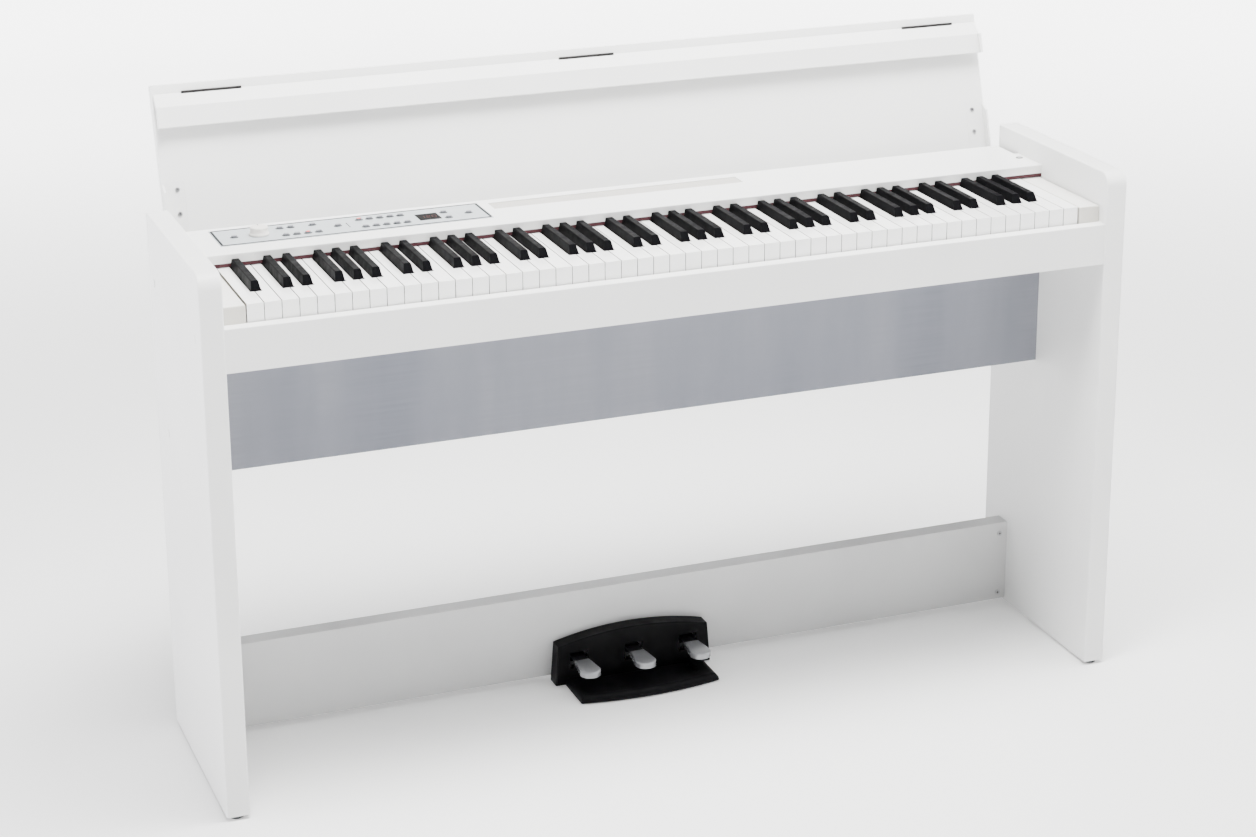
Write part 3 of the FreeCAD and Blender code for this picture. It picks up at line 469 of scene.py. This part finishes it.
def piece(name, build, body, material, smooth=False):
    """A mesh built by a function, with a material, riding on a body."""
    shape = bmesh.new()
    build(shape)
    bmesh.ops.recalc_face_normals(shape, faces=shape.faces)
    mesh = bpy.data.meshes.new(name)
    shape.to_mesh(mesh)
    shape.free()
    made = bpy.data.objects.new(name, mesh)
    bpy.context.collection.objects.link(made)
    mesh.materials.append(MATERIALS[material])
    for face in mesh.polygons:
        face.use_smooth = smooth
    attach(made, body)
    return made


def bar(shape, low, high):
    """A box between two corners with slightly rounded edges."""
    made = bmesh.ops.create_cube(shape, size=1)["verts"]
    middle = (Vector(low) + Vector(high)) / 2
    span = Vector(high) - Vector(low)
    for vert in made:
        vert.co = Vector([value * length for value, length in zip(vert.co, span)]) + middle
    edges = list({edge for vert in made for edge in vert.link_edges})
    bmesh.ops.bevel(shape, geom=edges, offset=min(span) * 0.2, segments=2, profile=0.5,
                    affect="EDGES")


def round_loop(low, high, radius, steps=8):
    """Corner-rounded rectangle in X and Y, anticlockwise."""
    corners = ((high[0] - radius, high[1] - radius, 0), (low[0] + radius, high[1] - radius, 90),
               (low[0] + radius, low[1] + radius, 180), (high[0] - radius, low[1] + radius, 270))
    points = []
    for x, y, start in corners:
        for step in range(steps + 1):
            angle = math.radians(start + 90 * step / steps)
            points.append((x + radius * math.cos(angle), y + radius * math.sin(angle)))
    return points


def outline(shape, low, high, radius, line, level, tall):
    """A closed raised line just inside a corner-rounded rectangle, on a level face."""
    rings = []
    for inset, height in ((0, 0), (0, tall), (line, tall), (line, 0)):
        loop = round_loop((low[0] + inset, low[1] + inset), (high[0] - inset, high[1] - inset),
                          radius - inset)
        rings.append([shape.verts.new((x, y, level + height)) for x, y in loop])
    for ring, after in zip(rings, rings[1:] + rings[:1]):
        for index in range(len(ring)):
            follow = (index + 1) % len(ring)
            shape.faces.new((ring[index], ring[follow], after[follow], after[index]))


def plate_outline():
    """The dark line printed just inside the control plate's edge."""
    low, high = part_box("control_plate")
    inset, line, plate_corner = 1.2 * MM, 3.4 * MM, 5 * MM

    def build(shape):
        outline(shape, (low[0] + inset, low[1] + inset), (high[0] - inset, high[1] - inset),
                plate_corner - inset, line, high[2], PRINT)

    piece("control_plate_outline", build, "case", "dark_line")


def button_rims():
    """The dark ring round each push button."""
    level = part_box("control_plate")[1][2]
    gap, line, tall = 0.45 * MM, 1.4 * MM, 0.1 * MM
    reach = gap + line

    def build(shape):
        for node in BUTTON_NODES:
            for low, high in islands(node):
                outline(shape, (low.x - reach, low.y - reach), (high.x + reach, high.y + reach),
                        (high.y - low.y) / 2 + reach - RIM_FLAT, line, level, tall)

    piece("button_rims", build, "case", "dark_line")


def bumper_rings():
    """The raised ring that each lid bumper sits in, drawn dark with painted recess shade."""
    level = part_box("top_panel")[1][2]
    reach, line, tall = 1.4 * MM, 1.2 * MM, 0.5 * MM

    def build(shape):
        for low, high in islands("lid_bumpers"):
            outline(shape, (low.x - reach, low.y - reach), (high.x + reach, high.y + reach),
                    (high.x - low.x) / 2 + reach - RIM_FLAT, line, level, tall)

    piece("bumper_rings", build, "case", "painted_recess_shade")


FIGURES = "120"
SEGMENTS = {"1": "bc", "2": "abged", "0": "abcdef"}
# Each bar's middle in figure widths and half heights, and whether it lies flat.
BARS = {"a": (0, 1, True), "g": (0, 0, True), "d": (0, -1, True), "f": (-0.5, 0.5, False),
        "b": (0.5, 0.5, False), "e": (-0.5, -0.5, False), "c": (0.5, -0.5, False)}


def display_digits():
    """Seven-segment figures that glow faintly on the display window."""
    low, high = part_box("display_window")
    middle = (Vector(low) + Vector(high)) / 2
    wide, half_tall, thick, pitch = 5.2 * MM, 5.0 * MM, 1.1 * MM, 8.58 * MM
    lift, deep = 0.12 * MM, 0.1 * MM

    def build(shape):
        for index, figure in enumerate(FIGURES):
            x = middle.x + (index - (len(FIGURES) - 1) / 2) * pitch
            for name in SEGMENTS[figure]:
                across, up, flat = BARS[name]
                reach = (wide if flat else half_tall) / 2 - thick * 0.6
                centre = Vector((x + across * wide, middle.y + up * half_tall, high[2] + lift))
                size = Vector((reach, thick / 2, 0) if flat else (thick / 2, reach, 0))
                bar(shape, centre - size - Vector((0, 0, deep)), centre + size)

    piece("display_digits", build, "case", "faint_red")


def lit_lens(name, body, x, y):
    """A glowing dome on one push button."""
    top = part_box("voice_buttons")[1][2]
    half_long, half_deep, half_tall = 3.2, 2.0, 0.5             # millimetres

    def build(shape):
        made = bmesh.ops.create_uvsphere(shape, u_segments=24, v_segments=12, radius=1)["verts"]
        for vert in made:
            vert.co = Vector((x + vert.co.x * half_long * MM, y + vert.co.y * half_deep * MM,
                              top + vert.co.z * half_tall * MM))

    piece(name, build, body, "glowing_red", smooth=True)


def button_lenses():
    """The third front voice button and the first rear song button are lit."""
    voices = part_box("voice_buttons")
    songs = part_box("song_buttons")
    pitch = (voices[1][0] - voices[0][0] - BUTTON_LONG) / 3
    lit_lens("voice_light", "voices", voices[0][0] + BUTTON_LONG / 2 + 2 * pitch,
             voices[0][1] + BUTTON_DEEP / 2)
    lit_lens("song_light", "songs", songs[0][0] + BUTTON_LONG / 2, songs[1][1] - BUTTON_DEEP / 2)


def button_legends():
    """A short plain dash printed behind each push button."""
    plate_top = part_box("control_plate")[1][2]
    half_long, near, far = 3.6 * MM, 2.6 * MM, 3.5 * MM
    sunk, proud = 0.05 * MM, 0.06 * MM

    def build(shape):
        for node in BUTTON_NODES:
            for low, high in islands(node):
                middle = (low.x + high.x) / 2
                bar(shape, (middle - half_long, high.y + near, plate_top - sunk),
                    (middle + half_long, high.y + far, plate_top + proud))

    piece("button_legends", build, "case", "grey_print")


def cross(shape, centre, across, along, normal, reach):
    """A cross recess drawn on a screw head as a thin solid, which carries the painted shade of the
    recess.
    """
    arm_half = 0.24 * reach
    for direction, other in ((across, along), (along, across)):
        corners = []
        for lift in (0, 0.12 * MM):
            for a, b in ((-1, -1), (1, -1), (1, 1), (-1, 1)):
                spot = centre + direction * reach * a + other * arm_half * b + normal * lift
                corners.append(shape.verts.new(spot))
        shape.faces.new(corners[4:])
        shape.faces.new(corners[3::-1])
        for index in range(4):
            follow = (index + 1) % 4
            shape.faces.new((corners[index], corners[follow], corners[follow + 4],
                             corners[index + 4]))


def islands(node):
    """The lowest and highest corner of each separate solid of a node."""
    shape = bmesh.new()
    shape.from_mesh(NODES[node].data)
    bmesh.ops.remove_doubles(shape, verts=shape.verts, dist=1e-6)
    left = set(shape.verts)
    found = []
    while left:
        stack = [left.pop()]
        island = list(stack)
        while stack:
            vert = stack.pop()
            for edge in vert.link_edges:
                other = edge.other_vert(vert)
                if other in left:
                    left.remove(other)
                    stack.append(other)
                    island.append(other)
        low = Vector([min(vert.co[axis] for vert in island) for axis in range(3)])
        high = Vector([max(vert.co[axis] for vert in island) for axis in range(3)])
        found.append((low, high))
    shape.free()
    return sorted(found, key=lambda pair: tuple(pair[0]))


def screw_recesses():
    """Crosses of painted recess shade on the lid's screws, which lean with the open lid, and on
    the stretcher's.
    """
    lean = math.radians(LID_OPEN - 90)
    normal = Vector((0, -math.cos(lean), -math.sin(lean)))
    along = Vector((0, -math.sin(lean), math.cos(lean)))
    across = Vector((1, 0, 0))
    head_thick = 1.2 * MM

    def on_lid(shape):
        for low, high in islands("lid_screws"):
            face = (low + high) / 2 + normal * head_thick / 2
            cross(shape, face, across, along, normal, 1.7 * MM)

    piece("lid_screw_recesses", on_lid, "lid", "painted_recess_shade")

    def on_stretcher(shape):
        for low, high in islands("stretcher_screws"):
            middle = (low + high) / 2
            centre = Vector((middle.x, low.y, middle.z))
            cross(shape, centre, across, Vector((0, 0, 1)), Vector((0, -1, 0)), 2.2 * MM)

    piece("stretcher_screw_recesses", on_stretcher, "case", "painted_recess_shade")


def volume_knob():
    """A turned knob with a fluted grip on a plain skirt."""
    low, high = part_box("volume_knob")
    centre = (Vector(low) + Vector(high)) / 2
    radius = (high[0] - low[0]) / 2
    tall = high[2] - low[2]
    # Share of the radius, share of the height and how deep the flutes are.
    profile = ((0.99, 0.0, 0), (1.0, 0.06, 0), (0.99, 0.2, 0), (0.93, 0.28, 0), (0.895, 0.32, 1),
               (0.885, 0.80, 1), (0.87, 0.88, 0.6), (0.83, 0.95, 0), (0.76, 0.985, 0),
               (0.55, 0.99, 0), (0.3, 0.975, 0), (0.02, 0.97, 0))
    flutes, columns, depth = 48, 288, 0.22 * MM

    def build(shape):
        rings = []
        for share, height, grip in profile:
            ring = []
            for column in range(columns):
                angle = 2 * math.pi * column / columns
                reach = radius * share - depth * grip * (1 - math.cos(flutes * angle)) / 2
                ring.append(shape.verts.new((centre.x + reach * math.cos(angle),
                                             centre.y + reach * math.sin(angle),
                                             low[2] + tall * height)))
            rings.append(ring)
        for ring, above in zip(rings, rings[1:]):
            for index in range(columns):
                follow = (index + 1) % columns
                shape.faces.new((ring[index], ring[follow], above[follow], above[index]))
        shape.faces.new(rings[0][::-1])
        shape.faces.new(rings[-1])

    knob = piece("fluted_volume_knob", build, "volume", "knob_plastic", smooth=True)
    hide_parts("volume_knob")

    mark_half, mark_sunk, mark_top = 0.6 * MM, 0.4 * MM, 0.05 * MM

    def mark(shape):
        bar(shape, (centre.x - mark_half, centre.y + radius * 0.45, high[2] - mark_sunk),
            (centre.x + mark_half, centre.y + radius * 0.78, high[2] - mark_top))

    piece("volume_knob_mark", mark, "volume", "dark_line")


finish_nodes()
plate_outline()
button_rims()
bumper_rings()
display_digits()
button_lenses()
button_legends()
screw_recesses()
volume_knob()
camera()
studio()
